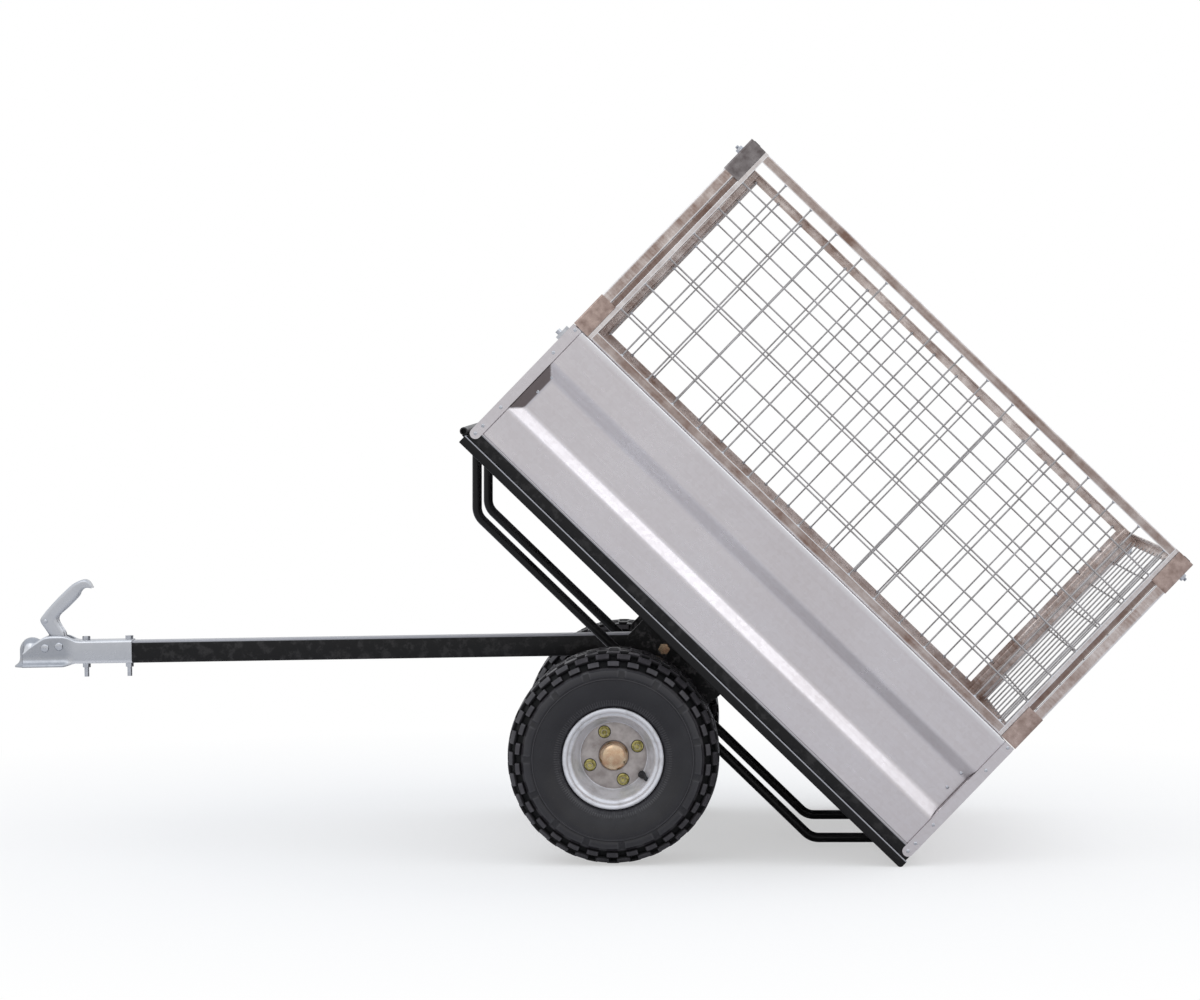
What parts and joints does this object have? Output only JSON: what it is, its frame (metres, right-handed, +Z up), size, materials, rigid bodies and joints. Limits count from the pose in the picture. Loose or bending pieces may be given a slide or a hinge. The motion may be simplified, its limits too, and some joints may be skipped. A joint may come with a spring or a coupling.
{
  "type": "utility trailer",
  "caption": "Small tipping utility trailer with a galvanised box, mesh cage, square drawbar and ball coupler, bed tipped back on its wheels.",
  "frame": {"origin": "on the ground, in the middle of the overall length and width", "axes": "+X towards the rear (the coupler is at -X), +Y to the trailer's right, +Z up; the bed is tipped back 44 degrees, as it stands"},
  "size_m": [2.6192, 1.08, 1.5569],
  "materials": {
    "black_paint": "satin black paint",
    "galvanised_sheet": "smooth galvanised sheet",
    "galvanised_angle": "galvanised, dull",
    "mesh_wire": "galvanised wire",
    "zinc_fixings": "bright zinc plate",
    "zinc_pressing": "zinc plated pressing",
    "axle_steel": "turned steel",
    "yellow_zinc": "yellow zinc plate",
    "tyre_rubber": "moulded rubber",
    "rim_silver": "silver paint",
    "hub_iron": "machined, light rust",
    "hub_cap_brass": "dull brass-coloured cap"
  },
  "bodies": {
    "bed": {"side_rail_left": "black_paint", "side_rail_right": "black_paint", "end_rails": "black_paint", "cross_members": "black_paint", "floor_sheet": "galvanised_sheet", "side_panel_left": "galvanised_sheet", "side_panel_right": "galvanised_sheet", "front_panel": "galvanised_sheet", "corner_posts_front": "galvanised_sheet", "corner_posts_rear": "galvanised_sheet", "cage_frame_left": "galvanised_angle", "cage_mesh_left": "mesh_wire", "cage_frame_right": "galvanised_angle", "cage_mesh_right": "mesh_wire", "cage_frame_front": "galvanised_angle", "cage_mesh_front": "mesh_wire", "cage_frame_rear": "galvanised_angle", "cage_mesh_rear": "mesh_wire", "cage_corner_plates": "galvanised_angle", "cage_screws": "zinc_fixings", "board_latches": "zinc_fixings", "truss_tube_left": "black_paint", "truss_tube_right": "black_paint", "hanger_plates": "black_paint", "axle_beam": "black_paint", "stub_axles": "axle_steel", "tipping_latch_rod": "black_paint", "hinge_eyes": "black_paint", "pivot_bolts": "yellow_zinc"},
    "tailgate": {"tailgate": "galvanised_sheet", "tailgate_hinges": "galvanised_angle"},
    "drawbar": {"drawbar_tube": "black_paint", "drawbar_crossbar": "black_paint", "drawbar_lugs": "black_paint", "coupler_body": "zinc_pressing", "coupler_bolts": "zinc_fixings"},
    "coupler_handle": {"coupler_handle": "zinc_pressing"},
    "wheel_left": {"tyre_left": "tyre_rubber", "rim_left": "rim_silver", "hub_left": "hub_iron", "hub_cap_left": "hub_cap_brass"},
    "wheel_right": {"tyre_right": "tyre_rubber", "rim_right": "rim_silver", "hub_right": "hub_iron", "hub_cap_right": "hub_cap_brass"}
  },
  "joints": [
    {"name": "bed_tip", "type": "hinge", "parent": "bed", "child": "drawbar", "pos_m": [0.1737, 0, 0.43758], "axis": [0, 1, 0], "range_deg": [0, 44.9]},
    {"name": "coupler_handle_pivot", "type": "hinge", "parent": "drawbar", "child": "coupler_handle", "pos_m": [-1.20436, 0, 0.43045], "axis": [0, 1, 0], "range_deg": [0, 45]},
    {"name": "tailgate_hinge", "type": "hinge", "parent": "bed", "child": "tailgate", "pos_m": [0.71976, 0, 0.02702], "axis": [0, 1, 0], "range_deg": [0, 90]},
    {"name": "wheel_left_spin", "type": "hinge", "parent": "bed", "child": "wheel_left", "pos_m": [0.06867, -0.421, 0.229], "axis": [0, 1, 0], "continuous": true},
    {"name": "wheel_right_spin", "type": "hinge", "parent": "bed", "child": "wheel_right", "pos_m": [0.06867, 0.421, 0.229], "axis": [0, 1, 0], "continuous": true}
  ]
}
